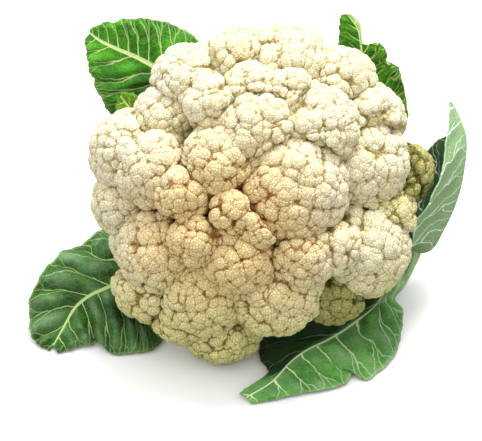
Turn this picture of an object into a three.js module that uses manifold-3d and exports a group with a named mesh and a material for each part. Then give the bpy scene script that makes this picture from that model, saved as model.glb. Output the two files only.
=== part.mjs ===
// A head of cauliflower lying on its side, with the six wrapper leaves that are still on it.
// Millimetres, +Z up. It rests on z = 0 on one floret and on the two lower leaves.
//
// The head is worked out in a frame of its own: its axis is +Z, its tip points up that axis, and
// its widest circle lies in z = 0. That frame is then tilted and lifted onto the surface.
// Every floret is a dome on a cone that runs back to the branching point inside the stalk, and
// flat walls part it from its neighbours. Every leaf is a sheet spread between its midrib and
// its two margins, thick along the midrib and thin at the margins.

import * as THREE from 'three';
import { mergeVertices } from 'three/addons/utils/BufferGeometryUtils.js';
import Module from 'manifold-3d';

// ---- Driving dimensions, in millimetres and degrees ----
const CURD_RADIUS = 90; // half the width of the curd at its widest circle
const CURD_RISE = 60; // the tip of the curd above the widest circle
const CURD_CURL = 45; // depth of the half ellipse in which the curd curls in below that circle
const HEAD_TILT = 32; // angle between the head's axis and the surface it lies on
const HEAD_HEIGHT = 80; // centre of the widest circle above the surface
const BRANCHING = -50; // the point on the axis that all florets grow from
const DOME_RATIO = 1.25; // radius of a floret's dome over the half-width that shows of it
const GAP = 0.3; // room between two pieces that touch

// ---- How finely the surfaces are faceted ----
const FLORET_SIDES = 14;
const DOME_STEPS = 5;
const STALK_SIDES = 28;
const LEAF_STEPS_ALONG = 16;
const LEAF_STEPS_ACROSS = 4; // on each side of the midrib
const SAME_POINT = 1e-4; // corners nearer than this are one corner

// The stalk's outline from the cut end to its top inside the head: [radius, place on the axis]
const STALK_OUTLINE = [[22.5, -90], [25, -87], [25, -60], [21, -48], [12, -36]];
const STALK_TOP = -30;
const STALK_SIDE = 25; // radius of the stretch that carries the leaves

// ---- Florets: [degrees around the axis, degrees down from the tip, half-width, how proud] ----
const FLORET_RINGS = {
  crown: [
    [196, 7, 9, 0],
    [302, 8, 9, 0],
    [20, 19, 23, 0],
    [259, 22, 14, 0],
    [127, 22, 14, 0],
  ],
  shoulder: [
    [212, 25, 11, 0],
    [168, 27, 12, 0],
    [317, 30, 14, 0],
    [86, 32, 16, 0],
    [331, 40, 11, 0],
    [286, 46, 19, 0],
    [161, 47, 16, 0],
    [48, 47, 18, 0],
    [110, 46, 12, 0],
    [90, 48, 12, 0],
    [209, 51, 18, 0],
    [70, 52, 11, 0],
    [243, 53, 18, 0],
  ],
  rim: [
    [258, 87, 17, 5],
    [286, 74, 13, -11],
    [312, 74, 14, -1],
    [335, 77, 22, 4],
    [8, 98, 15, 12],
    [17, 75, 20, 0],
    [33, 84, 17, 6],
    [52, 85, 16, 8],
    [75, 86, 19, 7],
    [94, 82, 15, 4],
    [117, 82, 18, 1],
    [136, 72, 14, -8],
    [160, 82, 19, 1],
    [184, 84, 16, -4],
    [204, 84, 14, -8],
    [222, 80, 17, 4],
    [240, 76, 17, 2],
    [352, 84, 14, 1],
  ],
};

// ---- Leaves ----
// A leaf grows from the side of the stalk at [degrees around it, place on its axis]. Its midrib
// and its left and right margins, seen along the leaf from the stalk on its upper face, are points
// at the same stations from the stalk to the tip, with the head already lying on the surface.
const LEAVES = {
  leaf_upper_left: {
    seat: [130, -76],
    stem: [9, 4.5],
    bow: 2,
    ruffle: [3.5, 1.5],
    midrib: [
      [-30, 81, 84], [-42, 83, 96], [-54, 85, 105], [-65, 87, 111],
      [-76, 88, 116], [-85, 90, 120], [-91, 92, 124],
    ],
    left: [
      [-37, 74, 76], [-56, 71, 74], [-76, 68, 80], [-85, 73, 91],
      [-91, 79, 104], [-93, 85, 113], [-94, 90, 121],
    ],
    right: [
      [-23, 90, 92], [-25, 97, 108], [-37, 99, 121], [-54, 98, 129],
      [-70, 96, 131], [-83, 95, 129], [-91, 93, 126],
    ],
  },
  leaf_young_upper_left: {
    seat: [165, -64],
    stem: [5, 2.5],
    bow: 1,
    ruffle: [3, 1],
    midrib: [[-40, 57, 68], [-52, 59, 79], [-62, 59, 88], [-68, 61, 94], [-73, 64, 100]],
    left: [[-43, 54, 65], [-56, 57, 72], [-69, 57, 82], [-76, 58, 91], [-75, 63, 99]],
    right: [[-36, 61, 72], [-48, 66, 87], [-57, 66, 95], [-66, 65, 101], [-73, 65, 102]],
  },
  leaf_upper_right: {
    seat: [55, -74],
    stem: [9, 4.5],
    bow: -2,
    ruffle: [4.5, 2],
    midrib: [
      [30, 76, 76], [46, 79, 85], [58, 80, 92], [66, 81, 99], [66, 83, 105],
      [65, 85, 110], [64, 87, 115], [63, 90, 121], [61, 93, 127], [55, 97, 134],
    ],
    left: [
      [20, 83, 82], [28, 88, 92], [36, 90, 99], [43, 91, 104], [47, 92, 109],
      [50, 93, 114], [51, 94, 119], [51, 95, 124], [51, 96, 129], [52, 97, 133],
    ],
    right: [
      [42, 68, 66], [74, 63, 62], [89, 65, 72], [90, 72, 87], [86, 79, 105],
      [79, 84, 110], [73, 87, 120], [65, 89, 118], [63, 95, 128], [58, 97, 133],
    ],
  },
  leaf_right: {
    seat: [350, -66],
    stem: [8, 4],
    bow: 3,
    ruffle: [3, 1],
    midrib: [
      [50, 40, 36], [76, 22, 32], [98, 5, 36], [108, 9, 49], [116, 19, 64],
      [120, 30, 79], [121, 40, 89], [118, 49, 96], [114, 57, 101],
    ],
    left: [
      [54, 46, 40], [78, 36, 36], [92, 38, 42], [100, 46, 50], [102, 57, 64],
      [107, 58, 72], [114, 57, 79], [115, 60, 88], [114, 61, 97],
    ],
    right: [
      [48, 33, 32], [76, 10, 28], [89, -9, 48], [90, -15, 68], [98, -8, 83],
      [105, 5, 90], [108, 22, 97], [111, 40, 101], [112, 55, 102],
    ],
  },
  leaf_lower_left: {
    seat: [215, -76],
    stem: [10, 4.5],
    bow: 2,
    ruffle: [3, 1.5],
    midrib: [
      [-45, 38, 5], [-64, 16, 14], [-77, -7, 20], [-89, -13, 18],
      [-98, -18, 13], [-105, -28, 6], [-110, -38, 2],
    ],
    left: [
      [-40, 30, 6], [-46, 6, 6], [-47, -20, 4], [-52, -39, 2],
      [-72, -44, 1], [-90, -38, 2], [-107, -43, 1],
    ],
    right: [
      [-50, 46, 8], [-76, 38, 28], [-95, 16, 31], [-112, 2, 30],
      [-124, -14, 16], [-122, -33, 3], [-112, -41, 1],
    ],
  },
  leaf_lower_right: {
    seat: [318, -76],
    stem: [10, 4.5],
    bow: 2,
    ruffle: [4, 1.5],
    midrib: [
      [42, 44, 5], [64, 30, 10], [80, 8, 14], [74, -12, 10], [58, -28, 8],
      [44, -38, 6], [32, -46, 6], [22, -56, 6], [12, -70, 5], [-2, -80, 3],
    ],
    left: [
      [47, 51, 8], [74, 42, 14], [98, 16, 26], [89, -4, 23], [86, -24, 8],
      [82, -43, 3], [66, -64, 1], [50, -70, 2], [28, -76, 2], [1, -83, 1],
    ],
    right: [
      [37, 37, 6], [52, 20, 6], [58, 2, 5], [44, -6, 3], [30, -16, 2],
      [10, -28, 2], [5, -44, 2], [10, -61, 3], [1, -72, 5], [-6, -77, 3],
    ],
  },
};
const BLADE_HALF_THICKNESS = 0.8;
const MIDRIB_HALF_WIDTH = 4; // at the stalk; it narrows towards the tip
const MIDRIB_TAPER = 0.7; // share of that half-width lost by the tip
const MIDRIB_FADE = 1.5; // power of the rest of the leaf that the midrib's thickness follows
const MARGIN_LIFT = 0.2; // the closest that a leaf's underside comes to the surface
const SEAT_GAP = 1.2; // room between a leaf's stem and the stalk
const LINE_TENSION = 0.5; // of the curves through a leaf's stations
const RUFFLE_SPAN = 2 / 3; // share of the leaf, from the stalk, that is bowed and ruffled

// ---- Materials ----
const curdWhite = new THREE.MeshStandardMaterial({ color: 0xf0e6c8, roughness: 0.75, metalness: 0 });
const stalkGreen = new THREE.MeshStandardMaterial({ color: 0xdfe5bd, roughness: 0.6, metalness: 0 });
const leafGreen = new THREE.MeshStandardMaterial({ color: 0x3f7a30, roughness: 0.5, metalness: 0 });

const degrees = THREE.MathUtils.degToRad;
const wasm = await Module();
wasm.setup();

// The solid that a closed geometry bounds, with its faces turned outwards.
function solidOf(geometry) {
  const bare = geometry.clone();
  bare.deleteAttribute('normal');
  bare.deleteAttribute('uv');
  const merged = mergeVertices(bare, SAME_POINT);
  return new wasm.Manifold(new wasm.Mesh({
    numProp: 3,
    vertProperties: merged.attributes.position.array,
    triVerts: merged.index.array,
  }));
}

function geometryOf(solid) {
  const mesh = solid.getMesh();
  const geometry = new THREE.BufferGeometry();
  geometry.setAttribute('position', new THREE.BufferAttribute(mesh.vertProperties, 3));
  geometry.setIndex(new THREE.BufferAttribute(mesh.triVerts, 1));
  geometry.computeVertexNormals();
  return geometry;
}

// ---- Head frame ----

// A point of the curd's outside and the direction straight out of it there.
function curdSurface(around, down) {
  const across = CURD_RADIUS * Math.sin(degrees(down));
  const depth = down < 90 ? CURD_RISE : CURD_CURL;
  const point = new THREE.Vector3(
    across * Math.cos(degrees(around)),
    across * Math.sin(degrees(around)),
    depth * Math.cos(degrees(down)),
  );
  const out = new THREE.Vector3(
    point.x / CURD_RADIUS ** 2,
    point.y / CURD_RADIUS ** 2,
    point.z / depth ** 2,
  ).normalize();
  return { point, out };
}

// A floret's dome as the branching point sees it: its direction and distance, the half-angle of
// the cone around the whole dome, and that of the cone around the half-width that shows.
function dome([around, down, halfWidth, proud]) {
  const radius = DOME_RATIO * halfWidth;
  const { point, out } = curdSurface(around, down);
  const centre = point.addScaledVector(out, proud - radius);
  centre.z -= BRANCHING;
  const distance = centre.length();
  return {
    radius,
    distance,
    direction: centre.divideScalar(distance),
    halfAngle: Math.asin(radius / distance),
    wallAngle: Math.asin(halfWidth / distance),
  };
}

// How far the stalk reaches from the branching point in one direction.
function stalkReach(direction) {
  const sideways = Math.hypot(direction.x, direction.y);
  const outline = [...STALK_OUTLINE, [0, STALK_TOP]];
  const reach = ([radius, place]) => radius * sideways + (place - BRANCHING) * direction.z;
  return Math.max(...outline.map(reach));
}

// The cone and dome of one floret, cut off where it leaves the stalk, before its walls are cut.
function wholeFloret({ radius, distance, direction, halfAngle }) {
  const start = stalkReach(direction) + GAP;
  const outline = [new THREE.Vector2(0, start), new THREE.Vector2(start * Math.tan(halfAngle), start)];
  for (let step = 0; step <= DOME_STEPS; step++) {
    const turn = (Math.PI / 2 + halfAngle) * (1 - step / DOME_STEPS);
    outline.push(new THREE.Vector2(radius * Math.sin(turn), distance + radius * Math.cos(turn)));
  }
  outline.at(-1).x = 0;
  const geometry = new THREE.LatheGeometry(outline, FLORET_SIDES);
  const lathed = new THREE.Vector3(0, 1, 0);
  geometry.applyQuaternion(new THREE.Quaternion().setFromUnitVectors(lathed, direction));
  return solidOf(geometry);
}

// One floret between its neighbours. The wall between two florets is the plane through the
// branching point and the circle in which the cones around what shows of them cross.
function floretSolid(own, others) {
  let solid = wholeFloret(own);
  for (const other of others) {
    const wall = own.direction.clone().multiplyScalar(Math.cos(other.wallAngle))
      .addScaledVector(other.direction, -Math.cos(own.wallAngle))
      .normalize();
    solid = solid.trimByPlane(wall.toArray(), GAP / 2);
  }
  const up = new THREE.Vector3(0, Math.cos(degrees(HEAD_TILT)), Math.sin(degrees(HEAD_TILT)));
  const surface = -(HEAD_HEIGHT + BRANCHING * up.z);
  return solid.trimByPlane(up.toArray(), surface);
}

function makeFlorets() {
  const group = new THREE.Group();
  const domes = Object.values(FLORET_RINGS).flat().map(dome);
  let next = 0;
  for (const [ring, florets] of Object.entries(FLORET_RINGS)) {
    for (let number = 1; number <= florets.length; number++) {
      const own = domes[next++];
      const solid = floretSolid(own, domes.filter((other) => other !== own));
      const mesh = new THREE.Mesh(geometryOf(solid), curdWhite);
      mesh.name = `floret_${ring}_${String(number).padStart(2, '0')}`;
      group.add(mesh);
    }
  }
  group.position.z = BRANCHING;
  return group;
}

function makeStalk() {
  const cutEnd = STALK_OUTLINE[0][1];
  const outline = [[0, cutEnd], ...STALK_OUTLINE, [0, STALK_TOP]]
    .map(([radius, place]) => new THREE.Vector2(radius, place));
  const geometry = new THREE.LatheGeometry(outline, STALK_SIDES);
  geometry.rotateX(Math.PI / 2);
  const mesh = new THREE.Mesh(geometry, stalkGreen);
  mesh.name = 'stalk';
  return mesh;
}

// ---- Leaves ----

const headFrame = new THREE.Group();
headFrame.rotation.x = degrees(90 - HEAD_TILT);
headFrame.position.z = HEAD_HEIGHT;
headFrame.updateMatrix();

// The three lines of a leaf with its first station, the stem's end against the stalk, put in front.
function leafLines({ seat: [around, place], stem: [halfWidth], midrib, left, right }) {
  const out = new THREE.Vector3(Math.cos(degrees(around)), Math.sin(degrees(around)), 0);
  const along = new THREE.Vector3(-out.y, out.x, 0);
  const end = out.clone().multiplyScalar(STALK_SIDE + SEAT_GAP).setZ(place);
  const onStalk = (offset) => end.clone().addScaledVector(along, offset).applyMatrix4(headFrame.matrix);
  const line = (first, points) => {
    const stations = [first, ...points.map((point) => new THREE.Vector3(...point))];
    return new THREE.CatmullRomCurve3(stations, false, 'catmullrom', LINE_TENSION);
  };
  // The left margin starts on the side of the stem that the left stations lie on.
  const side = Math.sign(new THREE.Vector3(...left[0]).sub(new THREE.Vector3(...right[0]))
    .dot(along.clone().transformDirection(headFrame.matrix)));
  return {
    midrib: line(onStalk(0), midrib),
    left: line(onStalk(side * halfWidth), left),
    right: line(onStalk(-side * halfWidth), right),
  };
}

// A point in the middle of the leaf's thickness. across runs from -1 at the left margin to 1 at
// the right one; the blade bows up between midrib and margin, and the margins are ruffled.
function bladePoint(lines, leaf, along, across) {
  const rib = lines.midrib.getPoint(along);
  const margin = (across < 0 ? lines.left : lines.right).getPoint(along);
  const upper = lines.right.getPoint(along).sub(lines.left.getPoint(along))
    .cross(lines.midrib.getTangent(along)).normalize();
  const out = Math.abs(across);
  const [waves, height] = leaf.ruffle;
  const swell = leaf.bow * 4 * out * (1 - out);
  const ruffle = height * out * out * Math.sin(2 * Math.PI * waves * along + (across < 0 ? 1 : 0));
  const spread = Math.sin(Math.PI * Math.min(1, along / RUFFLE_SPAN));
  return {
    point: rib.lerp(margin, out).addScaledVector(upper, (swell + ruffle) * Math.max(0, spread)),
    upper,
    width: margin.distanceTo(lines.midrib.getPoint(along)),
  };
}

// Half the leaf's thickness: the midrib swells it, most of all near the stalk.
function halfThickness(leaf, along, distance) {
  const midrib = leaf.stem[1] * (1 - along) ** MIDRIB_FADE;
  const halfWidth = MIDRIB_HALF_WIDTH * (1 - MIDRIB_TAPER * along);
  return BLADE_HALF_THICKNESS + midrib * Math.exp(-((distance / halfWidth) ** 2) / 2);
}

function leafGeometry(leaf) {
  const lines = leafLines(leaf);
  const columns = 2 * LEAF_STEPS_ACROSS + 1;
  const upperFace = [];
  const lowerFace = [];
  for (let i = 0; i <= LEAF_STEPS_ALONG; i++) {
    for (let j = 0; j < columns; j++) {
      const along = i / LEAF_STEPS_ALONG;
      const across = j / LEAF_STEPS_ACROSS - 1;
      const { point, upper, width } = bladePoint(lines, leaf, along, across);
      const half = halfThickness(leaf, along, Math.abs(across) * width);
      const top = point.clone().addScaledVector(upper, half / 2 + BLADE_HALF_THICKNESS / 2);
      const bottom = point.clone().addScaledVector(upper, -half);
      const lift = Math.max(0, MARGIN_LIFT - bottom.z);
      bottom.z += lift;
      top.z = Math.max(top.z, bottom.z + BLADE_HALF_THICKNESS);
      upperFace.push(...top.toArray());
      lowerFace.push(...bottom.toArray());
    }
  }
  const count = (LEAF_STEPS_ALONG + 1) * columns;
  const faces = [];
  const strip = (a, b, c, d) => faces.push(a, b, c, a, c, d);
  for (let i = 0; i < LEAF_STEPS_ALONG; i++) {
    for (let j = 0; j + 1 < columns; j++) {
      const a = i * columns + j;
      strip(a, a + 1, a + 1 + columns, a + columns);
      strip(count + a, count + a + columns, count + a + columns + 1, count + a + 1);
    }
  }
  const border = [];
  for (let j = 0; j + 1 < columns; j++) border.push(j);
  for (let i = 0; i < LEAF_STEPS_ALONG; i++) border.push(i * columns + columns - 1);
  for (let j = columns - 1; j > 0; j--) border.push(LEAF_STEPS_ALONG * columns + j);
  for (let i = LEAF_STEPS_ALONG; i > 0; i--) border.push(i * columns);
  border.forEach((a, step) => {
    const b = border[(step + 1) % border.length];
    strip(a, count + a, count + b, b);
  });
  const geometry = new THREE.BufferGeometry();
  const corners = [...upperFace, ...lowerFace];
  geometry.setAttribute('position', new THREE.Float32BufferAttribute(corners, 3));
  geometry.setIndex(faces);
  geometry.computeVertexNormals();
  return geometry;
}

function makeLeaves() {
  const group = new THREE.Group();
  for (const [name, leaf] of Object.entries(LEAVES)) {
    const mesh = new THREE.Mesh(leafGeometry(leaf), leafGreen);
    mesh.name = name;
    group.add(mesh);
  }
  return group;
}

// ---- Assembly, with the middle of the whole head's box above the origin ----
headFrame.add(makeFlorets(), makeStalk());
const cauliflower = new THREE.Group();
cauliflower.add(headFrame, makeLeaves());
const box = new THREE.Box3().setFromObject(cauliflower, true);
cauliflower.position.x = -(box.min.x + box.max.x) / 2;
cauliflower.position.y = -(box.min.y + box.max.y) / 2;

export default cauliflower;
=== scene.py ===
"""A head of cauliflower on its side, with its wrapper leaves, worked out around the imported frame.

Lengths are in millimetres until a mesh is made, and then in metres. The head has a frame of its
own: its axis runs from the cut end of the stalk to the tip of the curd.
"""

import functools
import itertools
import math

import bpy
import numpy as np
from mathutils import Matrix, Vector


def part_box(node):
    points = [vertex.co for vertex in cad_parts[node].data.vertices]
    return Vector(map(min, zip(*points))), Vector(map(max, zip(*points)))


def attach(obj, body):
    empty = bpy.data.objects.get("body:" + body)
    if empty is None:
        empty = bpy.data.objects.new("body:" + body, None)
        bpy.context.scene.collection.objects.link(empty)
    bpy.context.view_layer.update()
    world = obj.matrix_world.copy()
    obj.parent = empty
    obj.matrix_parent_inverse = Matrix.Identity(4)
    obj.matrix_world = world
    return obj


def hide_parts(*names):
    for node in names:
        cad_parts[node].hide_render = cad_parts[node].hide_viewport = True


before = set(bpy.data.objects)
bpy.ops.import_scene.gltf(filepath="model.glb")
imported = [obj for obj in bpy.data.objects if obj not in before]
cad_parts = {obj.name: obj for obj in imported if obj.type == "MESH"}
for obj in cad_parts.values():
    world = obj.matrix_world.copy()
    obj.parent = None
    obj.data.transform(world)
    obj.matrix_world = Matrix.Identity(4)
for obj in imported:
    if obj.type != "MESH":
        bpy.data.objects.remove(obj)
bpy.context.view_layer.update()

MM = 0.001
RANDOM_TURN = 6.28  # random turns and phases are drawn from 0 to this

# ---- The head's own frame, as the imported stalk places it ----
HEAD_TILT = math.radians(32)  # of the axis above the surface, towards the curd's tip
HEAD_HEIGHT = 80.0
STALK_LENGTH = 90.0  # from the head's centre back to the cut end
STALK_CUT_RADIUS = 22.5
BRANCHING = -50.0  # where on the axis all florets branch from
stalk_low, stalk_high = (np.array(corner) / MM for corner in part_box("stalk"))
HEAD = np.array([
    (stalk_low[0] + stalk_high[0]) / 2,
    stalk_high[1] - STALK_LENGTH * math.cos(HEAD_TILT) - STALK_CUT_RADIUS * math.sin(HEAD_TILT),
    HEAD_HEIGHT,
])
AXIS = np.array([0.0, -math.cos(HEAD_TILT), math.sin(HEAD_TILT)])
RIGHT = np.array([1.0, 0.0, 0.0])
UP = np.array([0.0, math.sin(HEAD_TILT), math.cos(HEAD_TILT)])
ROOT = HEAD + BRANCHING * AXIS
# The leaves' stations are given with the head's centre over the origin.
SHIFT = HEAD * np.array([1.0, 1.0, 0.0])


# ---- Shader nodes ----

class Nodes:
    """Short words for making and joining the nodes of one tree."""

    def __init__(self, tree):
        self.tree = tree

    def add(self, kind, **values):
        node = self.tree.nodes.new(kind)
        for key, value in values.items():
            setattr(node, key, value)
        return node

    def link(self, source, target):
        if hasattr(source, "is_output"):
            self.tree.links.new(source, target)
        else:
            target.default_value = source

    def math(self, operation, a, b=0.0, clamp=False):
        node = self.add("ShaderNodeMath", operation=operation, use_clamp=clamp)
        self.link(a, node.inputs[0])
        self.link(b, node.inputs[1])
        return node.outputs[0]

    times = functools.partialmethod(math, "MULTIPLY")
    plus = functools.partialmethod(math, "ADD")
    minus = functools.partialmethod(math, "SUBTRACT")

    def mix(self, factor, a, b):
        node = self.add("ShaderNodeMix", data_type="RGBA")
        self.link(factor, node.inputs["Factor"])
        self.link(a, node.inputs["A"])
        self.link(b, node.inputs["B"])
        return node.outputs["Result"]

    def spread(self, value, from_low, from_high, to_low=0.0, to_high=1.0):
        node = self.add("ShaderNodeMapRange")
        self.link(value, node.inputs["Value"])
        for key, number in zip(("From Min", "From Max", "To Min", "To Max"),
                               (from_low, from_high, to_low, to_high)):
            self.link(number, node.inputs[key])
        return node.outputs["Result"]

    def attribute(self, name):
        return self.add("ShaderNodeAttribute", attribute_name=name).outputs["Fac"]

    def noise(self, vector, scale, detail=3.0, roughness=0.5):
        node = self.add("ShaderNodeTexNoise")
        self.link(vector, node.inputs["Vector"])
        set_constants(node, Scale=scale, Detail=detail, Roughness=roughness)
        return node.outputs["Fac"]

    def cell_edge(self, vector, scale, dimensions="3D"):
        """How far a point is from the border of its cell, where cells crowd at random."""
        node = self.add("ShaderNodeTexVoronoi", feature="DISTANCE_TO_EDGE")
        node.voronoi_dimensions = dimensions
        self.link(vector, node.inputs["Vector"])
        set_constants(node, Scale=scale)
        return node.outputs["Distance"]

    def bump(self, height, strength, distance, shader):
        node = self.add("ShaderNodeBump")
        set_constants(node, Strength=strength, Distance=distance)
        self.link(height, node.inputs["Height"])
        self.link(node.outputs["Normal"], shader.inputs["Normal"])


def set_constants(node, **values):
    """Gives a node's sockets fixed values; an underscore stands for a space in a name."""
    for key, value in values.items():
        node.inputs[key.replace("_", " ")].default_value = value


def srgb(red, green, blue):
    """A colour given as on a screen, 0 to 255, as linear light."""
    values = [c / 255 for c in (red, green, blue)]
    return tuple(c / 12.92 if c <= 0.04045 else ((c + 0.055) / 1.055) ** 2.4 for c in values) + (1.0,)


def new_material(name):
    material = bpy.data.materials.new(name)
    material.use_nodes = True
    nodes = Nodes(material.node_tree)
    return material, nodes, material.node_tree.nodes["Principled BSDF"]


def add_object(name, data):
    made = bpy.data.objects.new(name, data)
    bpy.context.scene.collection.objects.link(made)
    return made


# ---- Camera, floor and light ----

CAMERA_ELEVATION = math.radians(40)
CAMERA_DISTANCE = 1200.0
VIEW_WIDTH = 265.1  # at that distance
VIEW_ASIDE = 4.95  # how far the middle of the view is left of the head's centre, and below it
VIEW_BELOW = 14.025
FLOOR_HALF = 4.0  # in metres
# The room's brightness at the horizon and overhead, and what is added behind and on the left and
# taken away in front and on the right.
ROOM_LIGHT = (0.7, 1.5, 0.14, 0.18)
# The lamp over the head, behind it and to its right: place and aim in metres, width, power.
LAMP = ((0.22, 0.45, 1.25), (0.0, 0.0, 0.05), 0.6, 16.5)


def add_camera():
    """Looks down at the head from the front."""
    rise, run = math.sin(CAMERA_ELEVATION), math.cos(CAMERA_ELEVATION)
    up, back = np.array([0.0, rise, run]), np.array([0.0, -run, rise])
    target = HEAD - VIEW_ASIDE * RIGHT - VIEW_BELOW * up
    data = bpy.data.cameras.new("camera")
    data.sensor_width = 36.0
    data.lens = CAMERA_DISTANCE / VIEW_WIDTH * data.sensor_width
    data.clip_end = 20
    camera = add_object("camera", data)
    turn = Matrix((RIGHT, up, back)).transposed().to_4x4()
    camera.matrix_world = Matrix.Translation(Vector((target + CAMERA_DISTANCE * back) * MM)) @ turn
    bpy.context.scene.camera = camera


def add_lamp(place, aim, size, power):
    data = bpy.data.lights.new("overhead", "AREA")
    data.shape, data.size, data.energy = "DISK", size, power
    lamp = add_object("overhead", data)
    lamp.location = place
    direction = Vector(aim) - Vector(place)
    lamp.rotation_euler = direction.to_track_quat("-Z", "Y").to_euler()


def add_world(horizon, zenith, back, left):
    """A white room whose light changes evenly along each of the three directions."""
    world = bpy.data.worlds.new("studio")
    world.use_nodes = True
    nodes = Nodes(world.node_tree)
    background = world.node_tree.nodes["Background"]
    background.inputs["Color"].default_value = (1.0, 1.0, 1.0, 1.0)
    place = nodes.add("ShaderNodeSeparateXYZ")
    nodes.link(nodes.add("ShaderNodeTexCoord").outputs["Generated"], place.inputs[0])
    height = nodes.spread(place.outputs["Z"], 0.0, 1.0, horizon, zenith)
    depth = nodes.spread(place.outputs["Y"], -1.0, 1.0, -back, back)
    side = nodes.spread(place.outputs["X"], -1.0, 1.0, left, -left)
    light = nodes.plus(height, nodes.plus(depth, side))
    nodes.link(light, background.inputs["Strength"])
    bpy.context.scene.world = world


def add_floor():
    mesh = bpy.data.meshes.new("floor")
    corners = [(x * FLOOR_HALF, y * FLOOR_HALF, 0) for x, y in ((-1, -1), (1, -1), (1, 1), (-1, 1))]
    mesh.from_pydata(corners, [], [(0, 1, 2, 3)])
    material, nodes, shader = new_material("white_board")
    set_constants(shader, Roughness=0.9, Specular_IOR_Level=0.0)
    # The board looks white and throws back only as much light as grey board does.
    seen = nodes.add("ShaderNodeLightPath").outputs["Is Camera Ray"]
    board = nodes.mix(seen, (0.34, 0.34, 0.3, 1.0), (1.0, 1.0, 1.0, 1.0))
    nodes.link(board, shader.inputs["Base Color"])
    mesh.materials.append(material)
    floor = add_object("floor", mesh)


add_camera()
add_floor()
add_world(*ROOM_LIGHT)
add_lamp(*LAMP)
bpy.context.scene.view_settings.view_transform = "Standard"


# ---- Noise ----

def smoothstep(low, high, value):
    t = np.clip((value - low) / (high - low), 0, 1)
    return t * t * (3 - 2 * t)


def scatter(cells, seed):
    """An even number from 0 to 1 for each whole-numbered cell: its coordinates are multiplied by
    large odd numbers, joined and stirred."""
    c = cells.astype(np.int64).astype(np.uint32)
    h = c[..., 0] * np.uint32(0x8DA6B343) ^ c[..., 1] * np.uint32(0xD8163841)
    h ^= c[..., 2] * np.uint32(0xCB1AB31F) ^ np.uint32((seed * 0x9E3779B1) & 0xFFFFFFFF)
    h ^= h >> np.uint32(16)
    h *= np.uint32(0x7FEB352D)
    h ^= h >> np.uint32(15)
    h *= np.uint32(0x846CA68B)
    h ^= h >> np.uint32(16)
    return h / np.float64(2 ** 32)


def balls(points, seeds, radii):
    """Height of balls that stand with their centres on the surface: the greatest over the balls of
    the root of radius squared less distance squared, and 0 where no ball reaches. With it, how far
    a point is from where the next ball takes over: half the difference of the two greatest
    squares, over the distance between the two centres."""
    middle = seeds.mean(0)
    p = (points.reshape(-1, 3) - middle).astype(np.float32)
    c = (seeds - middle).astype(np.float32)
    power = 2 * p @ c.T
    power -= (p ** 2).sum(1)[:, None]
    power += (radii ** 2 - (c ** 2).sum(1))[None].astype(np.float32)
    every = np.arange(len(p))
    first = power.argmax(1)
    greatest = power[every, first]
    power[every, first] = -np.inf
    second = power.argmax(1)
    apart = np.linalg.norm(c[first] - c[second], axis=1)
    border = (greatest - power[every, second]) / (2 * np.maximum(apart, 0.1))
    height = np.sqrt(np.clip(greatest, 0, None))
    shape = points.shape[:-1]
    return height.reshape(shape).astype(float), border.reshape(shape).astype(float)


def clouds(points, size, seed):
    """Smooth noise from 0 to 1: random values at the corners of a lattice, blended across it."""
    q = points / size
    base = np.floor(q)
    f = smoothstep(0, 1, q - base)
    total = np.zeros(q.shape[:-1])
    for step in itertools.product((0, 1), repeat=3):
        weight = np.prod([f[..., k] if step[k] else 1 - f[..., k] for k in range(3)], axis=0)
        total += weight * scatter(base + np.array(step), seed)
    return total


# ---- Meshes ----

def make_piece(node, points, faces, attributes, material, uv=None):
    """An object at the origin with that mesh, which rides on the root body and stands for a node.
    points are in millimetres, faces are triangles, and attributes are one number for each point."""
    name = "look_" + node
    mesh = bpy.data.meshes.new(name)
    mesh.vertices.add(len(points))
    mesh.vertices.foreach_set("co", (points * MM).astype(np.float32).ravel())
    mesh.loops.add(faces.size)
    mesh.loops.foreach_set("vertex_index", faces.astype(np.int32).ravel())
    mesh.polygons.add(len(faces))
    mesh.polygons.foreach_set("loop_start", np.arange(0, faces.size, 3, dtype=np.int32))
    mesh.update(calc_edges=True)
    mesh.validate()
    mesh.polygons.foreach_set("use_smooth", np.ones(len(mesh.polygons), bool))
    for key, values in attributes.items():
        attribute = mesh.attributes.new(key, "FLOAT", "POINT")
        attribute.data.foreach_set("value", values.astype(np.float32).ravel())
    if uv is not None:
        corner = np.empty(len(mesh.loops), np.int32)
        mesh.loops.foreach_get("vertex_index", corner)
        mesh.uv_layers.new(name="blade").data.foreach_set("uv", uv[corner].astype(np.float32).ravel())
    mesh.materials.append(material)
    mesh.update()
    piece = add_object(name, mesh)
    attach(piece, "root")
    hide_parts(node)


def grid_triangles(rows, columns):
    """Two triangles for each square of a grid of points, numbered row by row."""
    i, j = np.meshgrid(np.arange(rows - 1), np.arange(columns - 1), indexing="ij")
    a = (i * columns + j).ravel()
    square = np.stack([a, a + columns, a + columns + 1, a + 1], 1)
    return np.concatenate([square[:, [0, 1, 2]], square[:, [0, 2, 3]]])


def grid_normals(points):
    """Unit normals of a grid of points, from the differences to its neighbours."""
    normal = np.cross(np.gradient(points, axis=0), np.gradient(points, axis=1))
    return normal / np.maximum(np.linalg.norm(normal, axis=-1, keepdims=True), 1e-12)


def whole_triangles(faces):
    """Leaves out the triangles that have two corners in one point."""
    a, b, c = faces.T
    return faces[(a != b) & (b != c) & (a != c)]


def turned_outwards(points, faces):
    """Turns all faces over if, on the whole, they point at the middle of the points."""
    a, b, c = points[faces].transpose(1, 0, 2)
    inwards = (np.cross(b - a, c - a) * (a - points.mean(0))).sum() < 0
    return faces[:, ::-1] if inwards else faces


def unit(vectors):
    return vectors / np.linalg.norm(vectors, axis=-1, keepdims=True)


# ---- Curd ----

GRAINS = 660.0  # cells to a metre
GRAIN_DEPTH = 0.0004


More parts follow.
